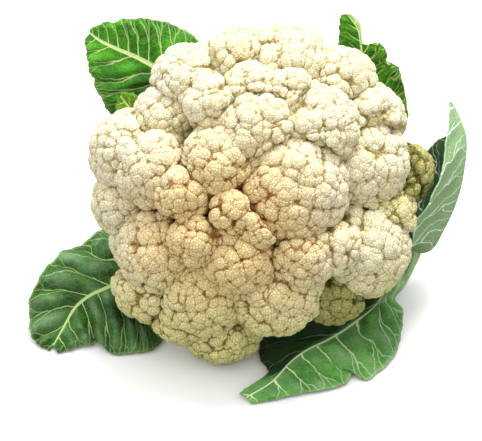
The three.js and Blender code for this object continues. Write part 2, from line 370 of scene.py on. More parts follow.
def curd_material():
    """Cream, warmed to gold, then painted with shade as the shade attribute passes 0 and 1: a
    yellow-olive shade, then a deep green-olive one. Each has a darker colour in the creases and in the
    gaps between grains, partly the curd's own ochre and partly painted shade, and in fine specks."""
    material, nodes, shader = new_material("curd")
    place = nodes.add("ShaderNodeTexCoord").outputs["Object"]
    warmth, stem, shade = (nodes.attribute(key) for key in ("warmth", "stem", "shade"))
    # Painted shade: olive_shade and green carry the shade attribute's two steps, below 1 and above it.
    olive_shade = nodes.math("MINIMUM", shade, 1.0)
    green = nodes.minus(shade, 1.0, True)
    patches = nodes.spread(nodes.noise(place, 35.0, 2.0), 0.35, 0.65)
    cream = nodes.mix(patches, srgb(253, 247, 224), srgb(250, 241, 204))
    cream = nodes.mix(nodes.times(warmth, 0.9), cream, srgb(251, 229, 168))
    cream = nodes.mix(nodes.times(olive_shade, 0.8), cream, srgb(246, 241, 154))
    cream = nodes.mix(green, cream, srgb(160, 158, 88))
    # Darker colours for creases, hollows and the gaps between grains: partly the curd's own ochre,
    # partly painted shade.
    groove = nodes.mix(warmth, srgb(190, 171, 108), srgb(172, 116, 54))
    groove = nodes.mix(olive_shade, groove, srgb(138, 124, 60))
    groove = nodes.mix(green, groove, srgb(84, 82, 34))
    edge = nodes.cell_edge(place, GRAINS)
    gaps = nodes.times(nodes.spread(edge, 0.0, 0.15, 0.6, 0.0), nodes.minus(1.0, stem))
    creases = nodes.spread(nodes.attribute("crease"), 0.2, 1.0)
    colour = nodes.mix(nodes.plus(creases, gaps, True), cream, groove)
    specks = nodes.noise(place, 900.0, 3.0, 0.6)
    colour = nodes.mix(nodes.spread(specks, 0.55, 0.75, 0.0, 0.2), colour, groove)
    nodes.link(nodes.mix(stem, colour, srgb(206, 208, 158)), shader.inputs["Base Color"])
    set_constants(shader, Roughness=0.7, Specular_IOR_Level=0.12, Subsurface_Weight=0.25,
                  Subsurface_Radius=(1.0, 0.7, 0.4), Subsurface_Scale=0.003)
    grain = nodes.math("POWER", nodes.spread(edge, 0.0, 0.4), 0.5)
    nodes.bump(nodes.plus(grain, nodes.times(specks, 0.2)), 1.0, GRAIN_DEPTH, shader)
    return material


SAME_PLANE = 3  # decimals to which the faces of one plane agree
LEAST_AREA = 1e-3


def node_triangles(name):
    """The points of a CAD node, the middle of its surface, and one corner and the normal of each of
    its faces but the smallest."""
    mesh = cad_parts[name].data
    points = np.empty(len(mesh.vertices) * 3)
    mesh.vertices.foreach_get("co", points)
    points = points.reshape(-1, 3) / MM
    mesh.calc_loop_triangles()
    corners = np.empty(len(mesh.loop_triangles) * 3, np.int32)
    mesh.loop_triangles.foreach_get("vertices", corners)
    a, b, c = points[corners.reshape(-1, 3)].transpose(1, 0, 2)
    normal = np.cross(b - a, c - a)
    area = np.linalg.norm(normal, axis=1)
    centre = ((a + b + c) / 3 * area[:, None]).sum(0) / area.sum()
    keep = area > LEAST_AREA
    return points, centre, a[keep], normal[keep] / area[keep, None]


def distinct_planes(corner, normal, inside):
    """The different planes of a convex solid's faces: unit normals out of an inside point, and the
    distances from it."""
    distance = (normal * (corner - inside)).sum(1)
    outward = normal * np.where(distance < 0, -1, 1)[:, None]
    planes = np.round(np.column_stack([outward, np.abs(distance)]), SAME_PLANE)
    planes = np.unique(planes, axis=0)
    planes = planes[planes[:, 3] > 0.5]
    return planes[:, :3], planes[:, 3]


# The inner share of a floret's grid covers its cap, down to this angle from the pole.
CAP_SHARE = 0.84
CAP_ANGLE = math.radians(124)
GRID_DENSITY = (7.2, 90, 165)  # points on its side for a millimetre of radius, fewest, most
GOLDEN_ANGLE = math.radians(137.508)
# Beyond that share of a node's reach, that per cent of its points are within the dome's radius.
DOME_FROM, DOME_PERCENT = 0.6, 70
DOME_BELOW_TOP = 1.02  # how far the dome's middle is below its top, against its radius
WALL_GAP = 0.6  # a face that passes this near to the root is a wall between two florets
BLEND = 60.0  # how sharply two faces meet
STEM_SHARE = 0.45  # a stem's radius against the dome's
UNDERSIDE = (math.radians(96), math.radians(112))  # where the dome becomes the stem
CURD_EDGE = (math.radians(128), math.radians(150))  # where bumps and curd colour fade
# By what share a shoulder is fuller than its node's, so that neighbours meet high up.
FULLNESS = 0.16
RIM_FULLNESS = 0.05
# Each size of bump: spacing, height against the ball's own, how much its creases and hollows are
# darkened (partly painted shade), scatter.
BUMP_SIZES = ((13.5, 0.42, 0.9, 0.4), (6.2, 0.3, 0.8, 0.6), (2.5, 0.14, 0.1, 0.5))
BALL_SHARE = 0.75  # a ball's radius against the spacing
CELL_SHARE = 0.866  # the area of each seed's cell, in squares of the spacing
CREASE_WIDTH = 0.9  # of the thin dark line between two bumps
CREASE_DEPTH = 0.04  # against the spacing
# The middle of the curd's golden part, and at how many degrees from it gold begins and is full.
GOLD = unit(AXIS - 0.22 * RIGHT - 0.25 * UP)
GOLD_EDGE = (72, 20)
PAINTED_SHADE_LOW = (85, 12)  # millimetres above the floor over which the curd is painted with yellow-olive shade
PAINTED_SHADE_FAR = (84, 104)  # degrees from the tip over which it is painted so too
# Florets a leaf shades, and how deep their painted shade is: yellow-olive to 1, green-olive to 2.
LEAF_SHADOWED_FLORETS = {"floret_rim_05": 1.7, "floret_rim_03": 1.75, "floret_rim_02": 1.0, "floret_rim_18": 0.7}


def sphere_directions(steps):
    """Directions round the whole sphere from a square grid, as angles from the pole and around it.
    The grid is bent into a disc, keeping areas, and the disc is wrapped round: its middle is the
    pole and its edge the opposite pole."""
    line = np.linspace(-1, 1, steps + 1)
    a, b = np.meshgrid(line, line, indexing="ij")
    wide = np.abs(a) > np.abs(b)
    radius = np.where(wide, a, b)
    safe = np.where(radius == 0, 1.0, radius)
    angle = np.where(wide, np.pi / 4 * b / safe, np.pi / 2 - np.pi / 4 * a / safe)
    x, y = radius * np.cos(angle), radius * np.sin(angle)
    q = np.hypot(x, y)
    down = np.where(q < CAP_SHARE, q / CAP_SHARE * CAP_ANGLE,
                    CAP_ANGLE + (q - CAP_SHARE) / (1 - CAP_SHARE) * (np.pi - CAP_ANGLE))
    turn = np.arctan2(y, x)
    return down, turn


def seed_rows(steps, count, shift, loose, random):
    """Rows and columns of the grid points nearest to directions laid out as a sunflower lays out
    its seeds: each is turned by the golden angle from the last, at equal steps of area down from
    the pole, and moved by a random share of the spacing."""
    turn_number = np.arange(count) + 0.5
    down = np.arccos(1 - (1 - math.cos(CAP_ANGLE)) * turn_number / count)
    turn = turn_number * GOLDEN_ANGLE + shift
    spacing = math.sqrt(2 * math.pi * (1 - math.cos(CAP_ANGLE)) / count)
    down = down + loose * spacing * (random.random(count) - 0.5)
    turn = turn + loose * spacing * (random.random(count) - 0.5) / np.maximum(np.sin(down), 0.2)
    q = np.clip(np.abs(down) / CAP_ANGLE, 0, 1) * CAP_SHARE
    x, y = q * np.cos(turn), q * np.sin(turn)
    wide = np.abs(x) > np.abs(y)
    long_side, short_side = np.where(wide, x, y), np.where(wide, y, x)
    a = np.sign(long_side) * q
    b = a * np.arctan(short_side / np.where(long_side == 0, 1, long_side)) * 4 / np.pi
    u, v = np.where(wide, a, b), np.where(wide, b, a)
    index = [np.clip(np.round((w + 1) / 2 * steps), 0, steps).astype(int) for w in (u, v)]
    return index[0], index[1]


def floret_surface(name, seed):
    """One floret as a distance from its middle in every direction. The node's faces give the
    distance, blended where they meet: one over the distance is the root of the summed powers, over
    all faces, of the cosine between direction and normal divided by the face's distance. Below the
    dome it narrows to a stem. Three sizes of round bumps are then raised along the surface's own
    normals, each with a shallow crease where two of them meet."""
    random = np.random.default_rng(seed)
    points, centre, corner, normal = node_triangles(name)
    axis = unit(centre - ROOT)
    reach = (points - ROOT) @ axis
    side = np.linalg.norm(points - ROOT - reach[:, None] * axis, axis=1)
    dome = np.percentile(side[reach > DOME_FROM * reach.max()], DOME_PERCENT)
    middle = ROOT + axis * (reach.max() - DOME_BELOW_TOP * dome)
    normals, distances = distinct_planes(corner, normal, middle)
    is_wall = np.abs(normals @ (ROOT - middle) - distances) < WALL_GAP
    fullness = RIM_FULLNESS if "_rim_" in name else FULLNESS
    fuller = 1 + fullness * np.minimum(1 - normals @ axis, 1)
    distances = np.where(is_wall, distances, distances * fuller)
    density, fewest, most = GRID_DENSITY
    steps = int(np.clip(dome * density, fewest, most))
    down, turn = sphere_directions(steps)
    e1 = unit(np.cross(axis, UP if abs(axis @ UP) < 0.9 else RIGHT))
    e2 = np.cross(axis, e1)
    direction = (np.sin(down) * np.cos(turn))[..., None] * e1
    direction = direction + (np.sin(down) * np.sin(turn))[..., None] * e2
    direction = direction + np.cos(down)[..., None] * axis
    share = np.clip(direction @ (normals / distances[:, None]).T, 0, None) ** BLEND
    total = share.sum(-1)
    wall = share[..., is_wall].sum(-1) / total
    radius = total ** (-1 / BLEND)
    stem = STEM_SHARE * dome / np.maximum(np.sin(down), 1e-3)
    under = smoothstep(*UNDERSIDE, down) * (1 - wall)
    radius = radius * (1 - under) + under * np.minimum(radius, np.maximum(0.98 * dome, stem))
    surface = middle + (radius * 1.02 + 0.3)[..., None] * direction
    curd = 1 - smoothstep(*CURD_EDGE, down)
    # The crease mask darkens the colour where florets meet and in the creases and hollows between
    # bumps: partly the curd's ochre, partly painted shade.
    crease = 0.35 * smoothstep(0.3, 1.0, wall)
    area = 2 * math.pi * dome ** 2 * (1 - math.cos(CAP_ANGLE))
    for spacing, height, tint, loose in BUMP_SIZES:
        count = max(4, int(area / (CELL_SHARE * spacing ** 2)))
        rows, columns = seed_rows(steps, count, random.random() * RANDOM_TURN, loose, random)
        seeds = surface[rows, columns]
        radii = BALL_SHARE * spacing * (0.85 + 0.3 * random.random(count))
        lump, border = balls(surface, seeds, radii)
        line = smoothstep(CREASE_WIDTH, 0, border)
        rise = height * (lump - 0.5 * spacing) - CREASE_DEPTH * spacing * line
        surface = surface + (curd * rise)[..., None] * grid_normals(surface)
        hollow = smoothstep(0.5, 0.1, lump / (BALL_SHARE * spacing))
        crease = crease + tint * curd * (0.6 * line + 0.6 * hollow)
    surface[..., 2] = np.maximum(surface[..., 2], 0.0)
    return surface, np.clip(crease, 0, 1.5), 1 - curd


def make_floret(name, seed, material):
    surface, crease, stem = floret_surface(name, seed)
    count = len(surface)
    # The grid's whole border is one point, at the stem's end.
    border = np.ones((count, count), bool)
    border[1:-1, 1:-1] = False
    border = border.ravel()

    def gather(values):
        return np.concatenate([values[border].mean(0, keepdims=True), values[~border]])

    points = gather(surface.reshape(-1, 3))
    number = np.where(border, 0, np.cumsum(~border))
    faces = turned_outwards(points, whole_triangles(number[grid_triangles(count, count)]))
    cosines = np.clip(unit(points - HEAD) @ np.column_stack([AXIS, GOLD]), -1, 1)
    from_tip, from_gold = np.degrees(np.arccos(cosines)).T
    warmth = smoothstep(*GOLD_EDGE, from_gold) * (0.75 + 0.5 * clouds(points, 30.0, 11))
    # Painted shade, yellow-olive, low down and on the underside; deeper where a leaf shadows the
    # floret.
    shade = np.maximum(smoothstep(*PAINTED_SHADE_LOW, points[:, 2]), smoothstep(*PAINTED_SHADE_FAR, from_tip))
    attributes = {
        "crease": gather(crease.ravel()),
        "stem": gather(stem.ravel()),
        "warmth": np.clip(warmth, 0, 1),
        "shade": np.maximum(shade, LEAF_SHADOWED_FLORETS.get(name, 0.0)),
    }
    make_piece(name, points, faces, attributes, material)


curd_look = curd_material()
floret_names = sorted(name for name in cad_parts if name.startswith("floret_"))
for index, floret_name in enumerate(floret_names):
    make_floret(floret_name, index + 1, curd_look)


# ---- Leaves ----

# Each leaf, in millimetres, shares of its length and, for sides, -1 for left and 1 for right.
# seat: degrees around the stalk and place on the head's axis. stem: half its width and thickness.
# bow: how far the blade bows up. ruffle: number and height of the margin's waves.
# midrib, left, right: stations on the midrib and both margins, from the stalk to the tip.
# veins: where side veins leave the midrib on either side; run: how much of the rest of the leaf
# they run forward; rib: the midrib's width against a full one; puff: how far the blade puffs up
# between veins; from_margin: the side on which they start at the margin.
# lobes: side, where, half-width, how far the margin is moved there.
# turned (the underside shows) and dark (painted shade): side, from, to, from how far out, amount.
# look: blade, its darker patches, underside, veins; how much bloom, with its painted sheen; how wide
# side veins are.
LEAVES = {}
LEAVES["leaf_upper_left"] = dict(
    seat=(130, -76), stem=(9, 4.5), bow=2, ruffle=(3.5, 1.5), grid=(170, 120),
    midrib=[(-30, 81, 84), (-42, 83, 96), (-54, 85, 105), (-65, 87, 111), (-76, 88, 116),
            (-85, 90, 120), (-91, 92, 124)],
    left=[(-37, 74, 76), (-56, 71, 74), (-76, 68, 80), (-85, 73, 91), (-91, 79, 104), (-93, 85, 113),
          (-94, 90, 121)],
    right=[(-23, 90, 92), (-25, 97, 108), (-37, 99, 121), (-54, 98, 129), (-70, 96, 131),
           (-83, 95, 129), (-91, 93, 126)],
    veins=dict(left=(0.18, 0.29, 0.4, 0.58, 0.75),
               right=(0.18, 0.29, 0.39, 0.47, 0.55, 0.62, 0.7, 0.78, 0.87),
               run=(0.45, 0.28), rib=1.0, puff=1.6),
    lobes=((-1, 0.68, 0.012, (0.8, 0.5, 0.8)), (1, 0.78, 0.02, (-0.5, -0.7, -1.2))),
    dark=((-1, 0, 0.5, 0, 0.6), (-1, 0.5, 0.75, 0.3, 0.25)),
    look=((76, 164, 8), (26, 104, 2), (140, 175, 120), (228, 246, 176), 0.03, 0.85))
LEAVES["leaf_young_upper_left"] = dict(
    seat=(165, -64), stem=(5, 2.5), bow=1, ruffle=(3, 1), grid=(90, 70),
    midrib=[(-40, 57, 68), (-52, 59, 79), (-62, 59, 88), (-68, 61, 94), (-73, 64, 100)],
    left=[(-43, 54, 65), (-56, 57, 72), (-69, 57, 82), (-76, 58, 91), (-75, 63, 99)],
    right=[(-36, 61, 72), (-48, 66, 87), (-57, 66, 95), (-66, 65, 101), (-73, 65, 102)],
    veins=dict(left=(0.3, 0.5, 0.7), right=(0.25, 0.45, 0.65, 0.8),
               run=(0.3, 0.3), rib=0.6, puff=1.2),
    look=((120, 172, 26), (86, 140, 16), (150, 180, 110), (220, 236, 140), 0.0, 0.8))
LEAVES["leaf_upper_right"] = dict(
    seat=(55, -74), stem=(9, 4.5), bow=-2, ruffle=(4.5, 2), grid=(170, 120),
    midrib=[(30, 76, 76), (46, 79, 85), (58, 80, 92), (66, 81, 99), (66, 83, 105), (65, 85, 110),
            (64, 87, 115), (63, 90, 121), (61, 93, 127), (55, 97, 134)],
    left=[(20, 83, 82), (28, 88, 92), (36, 90, 99), (43, 91, 104), (47, 92, 109), (50, 93, 114),
          (51, 94, 119), (51, 95, 124), (51, 96, 129), (52, 97, 133)],
    right=[(42, 68, 66), (74, 63, 62), (89, 65, 72), (90, 72, 87), (86, 79, 105), (79, 84, 110),
           (73, 87, 120), (65, 89, 118), (63, 95, 128), (58, 97, 133)],
    veins=dict(left=(0.2, 0.34, 0.47, 0.58, 0.68, 0.78, 0.88),
               right=(0.14, 0.24, 0.32, 0.4, 0.47, 0.56, 0.66),
               run=(0.12, 0.3), rib=0.55, puff=2.2),
    lobes=((1, 0.55, 0.03, (2.5, 0, 0)), (1, 0.6, 0.012, (-1.5, 0, 0)),
           (1, 0.655, 0.03, (2.5, 0, 0)), (1, 0.71, 0.02, (1.5, 0, 0)),
           (1, 0.79, 0.015, (-2.5, 0, 0))),
    turned=((1, 0.8, 1, 0.25, 1),),
    dark=((1, 0.5, 0.62, 0.0, 0.3),),
    look=((80, 164, 10), (32, 110, 3), (176, 206, 140), (224, 244, 150), 0.02, 1.0))
LEAVES["leaf_right"] = dict(
    seat=(350, -66), stem=(8, 4), bow=3, ruffle=(3, 1), grid=(170, 110),
    midrib=[(50, 40, 36), (76, 22, 32), (98, 5, 36), (108, 9, 49), (116, 19, 64), (120, 30, 79),
            (121, 40, 89), (118, 49, 96), (114, 57, 101)],
    left=[(54, 46, 40), (78, 36, 36), (92, 38, 42), (100, 46, 50), (102, 57, 64), (107, 58, 72),
          (114, 57, 79), (115, 60, 88), (114, 61, 97)],
    right=[(48, 33, 32), (76, 10, 28), (89, -9, 48), (90, -15, 68), (98, -8, 83), (105, 5, 90),
           (108, 22, 97), (111, 40, 101), (112, 55, 102)],
    veins=dict(left=(0.3, 0.48, 0.66), right=(0.28, 0.41, 0.54, 0.68, 0.82),
               run=(0.25, 0.24), rib=0.3, puff=1.2, from_margin="right"),
    turned=((1, 0.8, 1.1, -0.1, 0.7), (-1, 0.84, 1.1, -0.1, 0.6)),
    dark=((-1, 0.0, 0.8, 0.0, 0.6), (1, 0.0, 0.26, 0.0, 0.85)),
    look=((40, 104, 26), (22, 72, 12), (138, 172, 122), (236, 250, 226), 0.1, 1.7))
LEAVES["leaf_lower_left"] = dict(
    seat=(215, -76), stem=(10, 4.5), bow=2, ruffle=(3, 1.5), grid=(170, 120),
    midrib=[(-45, 38, 5), (-64, 16, 14), (-77, -7, 20), (-89, -13, 18), (-98, -18, 13), (-105, -28, 6),
            (-110, -38, 2)],
    left=[(-40, 30, 6), (-46, 6, 6), (-47, -20, 4), (-52, -39, 2), (-72, -44, 1), (-90, -38, 2),
          (-107, -43, 1)],
    right=[(-50, 46, 8), (-76, 38, 28), (-95, 16, 31), (-112, 2, 30), (-124, -14, 16), (-122, -33, 3),
           (-112, -41, 1)],
    veins=dict(left=(0.2, 0.3, 0.41, 0.53, 0.65, 0.8), right=(0.18, 0.31, 0.45, 0.59, 0.71, 0.84),
               run=(0.5, 0.25), rib=0.8, puff=3.6),
    lobes=((-1, 0.75, 0.02, (0, -1, 0)), (-1, 0.81, 0.025, (0, 5, 1)),
           (1, 0.52, 0.02, (-1.2, 0.7, 0.6))),
    dark=((-1, 0, 0.62, 0.1, 0.5), (1, 0, 0.3, 0.2, 0.3)),
    look=((46, 104, 26), (14, 60, 6), (140, 175, 120), (204, 230, 150), 0.7, 0.9))
LEAVES["leaf_lower_right"] = dict(
    seat=(318, -76), stem=(10, 4.5), bow=2, ruffle=(4, 1.5), grid=(190, 120),
    midrib=[(42, 44, 5), (64, 30, 10), (80, 8, 14), (74, -12, 10), (58, -28, 8), (44, -38, 6),
            (32, -46, 6), (22, -56, 6), (12, -70, 5), (-2, -80, 3)],
    left=[(47, 51, 8), (74, 42, 14), (98, 16, 26), (89, -4, 23), (86, -24, 8), (82, -43, 3),
          (66, -64, 1), (50, -70, 2), (28, -76, 2), (1, -83, 1)],
    right=[(37, 37, 6), (52, 20, 6), (58, 2, 5), (44, -6, 3), (30, -16, 2), (10, -28, 2), (5, -44, 2),
           (10, -61, 3), (1, -72, 5), (-6, -77, 3)],
    veins=dict(left=(0.16, 0.27, 0.37, 0.48, 0.57, 0.65, 0.74, 0.82, 0.89),
               right=(0.25, 0.4, 0.55, 0.7, 0.84),
               run=(0.33, 0.3), rib=0.75, puff=2.4),
    lobes=((-1, 0.445, 0.016, (-5, 0, -1)), (-1, 0.75, 0.024, (-1, 8, 1))),
    turned=((-1, 0.2, 0.43, 0.1, 1),),
    dark=((1, 0.0, 0.86, 0.0, 0.92), (-1, 0.44, 0.62, 0.0, 0.35)),
    look=((110, 178, 80), (52, 128, 36), (168, 204, 150), (234, 248, 206), 0.6, 1.0))
STALK_SIDE = 25.0
SEAT_GAP = 1.2  # between the stalk's side and the end of a leaf's stem
STEM_SUNK = 3.0  # how much deeper the seen stem goes
SHORT_STEP = 1e-4  # share of a leaf's length over which its direction is measured
SOFT_EDGE = 0.03  # half the width of a patch's edge along the leaf


def wave(turns):
    """The sine of a number of full turns."""
    return np.sin(2 * np.pi * turns)


def smooth_line(stations, share):
    """Points on a curve through all stations: on each stretch a cubic whose direction at a station is
    half the step between its two neighbours. The share of the length runs evenly over stretches."""
    stations = np.array(stations, float)
    first = 2 * stations[0] - stations[1]
    last = 2 * stations[-1] - stations[-2]
    extended = np.vstack([first, stations, last])
    place = share * (len(stations) - 1)
    index = np.minimum(np.floor(place).astype(int), len(stations) - 2)
    w = (place - index)[..., None]
    p0, p1, p2, p3 = (extended[index + k] for k in range(4))
    a, b = (p2 - p0) / 2, (p3 - p1) / 2
    return (2 * p1 - 2 * p2 + a + b) * w ** 3 + (-3 * p1 + 3 * p2 - 2 * a - b) * w ** 2 + a * w + p1


def leaf_lines(leaf, share):
    """The midrib and both margins at those shares of the leaf's length, and the midrib's direction.
    The first station, in front of those given, is the stem's end on the side of the stalk."""
    around, place = math.radians(leaf["seat"][0]), leaf["seat"][1]
    out = math.cos(around) * RIGHT + math.sin(around) * UP
    beside = -math.sin(around) * RIGHT + math.cos(around) * UP
    end = HEAD - SHIFT + (STALK_SIDE + SEAT_GAP - STEM_SUNK) * out + place * AXIS
    side = np.sign((np.array(leaf["left"][0]) - np.array(leaf["right"][0])) @ beside)
    half = side * leaf["stem"][0] * beside
    midrib = [end, *leaf["midrib"]]
    rib = smooth_line(midrib, share)
    left = smooth_line([end + half, *leaf["left"]], share)
    right = smooth_line([end - half, *leaf["right"]], share)
    before, after = np.maximum(share - SHORT_STEP, 0), np.minimum(share + SHORT_STEP, 1)
    ahead = smooth_line(midrib, after) - smooth_line(midrib, before)
    return rib, left, right, unit(ahead)


def patch_field(patches, share, across):
    """A soft-edged mask from 0 to 1 of the listed stretches of a leaf."""
    total = np.zeros(share.shape)
    for side, start, end, out, amount in patches:
        begun = smoothstep(start - SOFT_EDGE, start + SOFT_EDGE, share)
        ended = smoothstep(end - SOFT_EDGE, end + SOFT_EDGE, share)
        beyond = smoothstep(out - 0.05, out + 0.15, across * side)
        total = np.maximum(total, amount * (begun * (1 - ended) * beyond))
    return total


# Veins run on before the first listed, this much wider apart, and beyond the last.
VEINS_BEFORE, WIDER_APART, VEINS_BEYOND = 9, 2.5, 4


def vein_fields(vein, share, across, reach, length, seed):
    """Where each point of a blade lies among the side veins. The phase is a whole number on each
    vein and grows evenly from one vein to the next, and the pitch is the distance in millimetres
    between two of them. Two branches leave each vein some way out; they drift away from it,
    ahead and behind, by a share of the pitch."""
    random = np.random.default_rng(seed)
    sides = []
    for key, run in zip(("left", "right"), vein["run"]):
        away = np.abs(across)
        if vein.get("from_margin") == key:
            away = 1 - away
        starts = np.array(vein[key])
        step = np.diff(starts).mean()
        before = starts[0] - WIDER_APART * step * np.arange(VEINS_BEFORE, 0, -1)
        beyond = starts[-1] + step * np.arange(1, VEINS_BEYOND + 1)
        starts = np.concatenate([before, starts, beyond])
        number = np.arange(len(starts))
        bend = run * away ** 0.85
        wander = 0.009 * np.sin(8 * away + 19 * share + RANDOM_TURN * random.random())
        wander = wander + 0.005 * np.sin(21 * away - 37 * share + RANDOM_TURN * random.random())
        origin = (share + wander * away ** 0.5 * (1 - share) - bend) / (1 - bend)
        spacing = np.interp(origin, (starts[1:] + starts[:-1]) / 2, np.diff(starts))
        slope = 0.85 * run * (1 - origin) * length / np.maximum(reach, 4)
        phase = np.interp(origin, starts, number)
        pitch = spacing * (1 - bend) * length / np.sqrt(1 + slope ** 2)
        fields = {"phase": phase, "pitch": pitch, "away": away}
        # Each branch: where it leaves its vein at the earliest, and how far it drifts.
        for field, earliest, drift in (("ahead", 0.25, 0.44), ("behind", 0.62, 0.4)):
            leave = np.interp(phase, number, earliest + 0.3 * random.random(len(number)))
            fields[field] = drift * (np.clip(away - leave, 0, 1) / (1 - leave)) ** 0.8
        sides.append(fields)
    left, right = sides
    return {field: np.where(across < 0, left[field], right[field]) for field in left}


# The margin's teeth: how large and how many; the last are sharp.
TEETH = ((0.6, 9), (0.4, 23), (0.35, 31))
TOOTH_SIZE = 0.6
FRILL = 0.9
MIDRIB_HALF = (1.35, 0.25)  # half-width that tapers off along a leaf, and half-width at its tip
EDGE_HALF = 0.4  # half the blade's thickness
LEAST_THICKNESS = 0.5
FLOOR_GAP = 0.2  # between blade and floor, at least


def leaf_surface(leaf, seed):
    """The upper and lower faces of a leaf as two grids. The blade is spread in straight lines from
    the midrib to the margins, bowed between them and ruffled along them; it puffs up between the
    veins and thickens along the midrib, and its margin is finely toothed."""
    rows, columns = leaf["grid"]
    veins = leaf["veins"]
    along, across = np.linspace(0, 1, rows), np.linspace(-1, 1, columns)
    across = np.sign(across) * np.abs(across) ** 1.1
    rib, left, right, ahead = (line[:, None] for line in leaf_lines(leaf, along))
    share, across = np.meshgrid(along, across, indexing="ij")
    upper = unit(np.cross(right - left, ahead))
    margin = np.where(across[..., None] < 0, left, right)
    reach = np.linalg.norm(margin - rib, axis=-1)
    length = np.linalg.norm(np.diff(rib[:, 0], axis=0), axis=1).sum()
    out = np.abs(across)
    distance_out = out * reach
    phase = RANDOM_TURN * np.random.default_rng(seed).random(4)
    teeth = [size * wave(count * share + turn) for (size, count), turn in zip(TEETH[:2], phase)]
    size, count = TEETH[2]
    teeth = sum(teeth) + size * np.abs(wave(count * share + phase[2])) - 0.3
    fringe = smoothstep(0.75, 1, out) * smoothstep(0.12, 0.3, share) * smoothstep(0, 0.05, 1 - share)
    stretched = out + teeth * TOOTH_SIZE / np.maximum(reach, 8) * fringe
    moved = np.zeros((rows, columns, 3))
    for side, centre, spread_along, step in leaf.get("lobes", ()):
        near = np.exp(-((share - centre) / spread_along) ** 2) * smoothstep(0.2, 1, across * side)
        moved += near[..., None] * np.array(step, float)
    waves, height = leaf["ruffle"]
    swell = leaf["bow"] * 4 * out * (1 - out)
    ruffle = height * out ** 2 * np.sin(2 * np.pi * waves * share + np.where(across < 0, 1, 0))
    frill = FRILL * smoothstep(0.45, 1, out) * wave(waves * 2.6 * share + 0.3 * across + phase[3])
    spread = np.clip(np.sin(np.pi * np.minimum(1, 1.5 * share)), 0, None)
    fields = vein_fields(veins, share, across, reach, length, seed)
    net = clouds(np.stack([share * length, across * 40, 0 * share], -1), 7.0, seed)
    between = (0.5 - 0.5 * np.cos(2 * np.pi * fields["phase"])) ** 0.8
    puff = between * (1 - np.exp(-(distance_out / 6.0) ** 2)) * (0.6 + 0.8 * net)
    puff = puff * smoothstep(0.08, 0.25, share) * smoothstep(0, 0.25, 1 - out)
    lift = (swell + ruffle) * spread + frill * spread * smoothstep(0.1, 0.3, share)
    lift = lift + veins["puff"] * puff
    middle = rib + (margin - rib) * stretched[..., None] + moved + upper * lift[..., None]
    stem = leaf["stem"][1] * (1 - share) ** 1.5
    stem_width = 4 * (1 - 0.7 * share)
    half = EDGE_HALF + stem * np.exp(-((distance_out / stem_width) ** 2) / 2)
    normal = grid_normals(middle)
    normal = normal * np.sign((normal * upper).sum())
    by_stem = np.exp(-((distance_out / 6) ** 2))[..., None]
    normal = unit(normal * (1 - by_stem) + upper * by_stem)
    top = middle + normal * (half / 2 + 0.2)[..., None] + SHIFT
    bottom = middle - normal * half[..., None] + SHIFT
    bottom[..., 2] = np.maximum(bottom[..., 2], FLOOR_GAP)
    top[..., 2] = np.maximum(top[..., 2], bottom[..., 2] + LEAST_THICKNESS)
    tapering, at_tip = MIDRIB_HALF
    half_rib = (tapering * (1 - share) ** 0.7 + at_tip) * veins["rib"]
    half_rib = half_rib + 3 * smoothstep(0.16, 0, share)
    fields["rib"] = distance_out - half_rib
    fields["margin"] = smoothstep(0.93, 1, out)
    fields["turned"] = patch_field(leaf.get("turned", ()), share, across)
    # Painted shade on the listed stretches of the leaf.
    fields["dark"] = patch_field(leaf.get("dark", ()), share, across)
    uv = np.stack([share * length, across * reach], -1) * MM
    return top, bottom, fields, uv


def make_leaf(name, leaf, material, seed):
    rows, columns = leaf["grid"]
    top, bottom, fields, uv = leaf_surface(leaf, seed)
    count = rows * columns
    face = grid_triangles(rows, columns)
    number = np.arange(count).reshape(rows, columns)
    rim = np.concatenate([number[0, :-1], number[:-1, -1], number[-1, :0:-1], number[:0:-1, 0]])
    following = np.roll(rim, -1)
    wall = np.concatenate([np.stack([rim, following, following + count], 1),
                           np.stack([rim, following + count, rim + count], 1)])
    points = np.concatenate([top.reshape(-1, 3), bottom.reshape(-1, 3)])
    faces = np.concatenate([face, face[:, ::-1] + count, wall])
    a, b, c = points[faces[:len(face)]].transpose(1, 0, 2)
    up = (top - bottom).reshape(-1, 3)[faces[:len(face), 0]]
    if (np.cross(b - a, c - a) * up).sum() < 0:
        faces = faces[:, ::-1]
    attributes = {key: np.tile(values.ravel(), 2) for key, values in fields.items()}
    attributes["under"] = np.repeat([0.0, 1.0], count)
    uv = np.tile(uv.reshape(-1, 2), (2, 1))
    make_piece(name, points, faces, attributes, material, uv)


def line_mask(nodes, distance, half_width, soft):
    """1 up to half a width from a line, and falling evenly to 0 over the soft edge beyond it."""
    past = nodes.math("DIVIDE", nodes.minus(distance, half_width), soft)
    return nodes.minus(1.0, past, True)


VEIN_HALF = (0.4, 0.06)  # a side vein's half-width at the midrib and at the margin, in millimetres
TWIG_SHARE = 0.7  # a branch's width against its vein's
NET_CELLS = 230.0  # cells to a metre of the net between veins, and of the finest one
FINE_CELLS = 480.0
# The colour of the waxy bloom and of the painted sheen that it carries.
BLOOM_AND_SHEEN_COLOUR = (144, 184, 136)
# Painted shade: the colours of blade and veins where the dark attribute is set.
SHADED_BLADE = (9, 32, 7)
SHADED_VEIN = (30, 76, 24)


def vein_mask(nodes, phase, away, width):
    """Where a vein shows: the midrib, the side veins, and the two branches of each."""
    pitch = nodes.attribute("pitch")
    side_half = nodes.times(nodes.spread(away, 0.0, 1.0, *VEIN_HALF), width)
    twig_half = nodes.times(side_half, TWIG_SHARE)
    faint = nodes.times(nodes.spread(away, 0.35, 1.0, 1.0, 0.3), width, True)
    ahead = nodes.minus(phase, nodes.attribute("ahead"))
    behind = nodes.plus(phase, nodes.attribute("behind"))
    vein = line_mask(nodes, nodes.attribute("rib"), 0.0, 0.4)
    for shifted, half in ((phase, side_half), (ahead, twig_half), (behind, twig_half)):
        gap = nodes.times(nodes.math("PINGPONG", shifted, 0.5), pitch)
        line = nodes.times(faint, line_mask(nodes, gap, half, 0.35))
        vein = nodes.math("MAXIMUM", vein, line)
    return vein


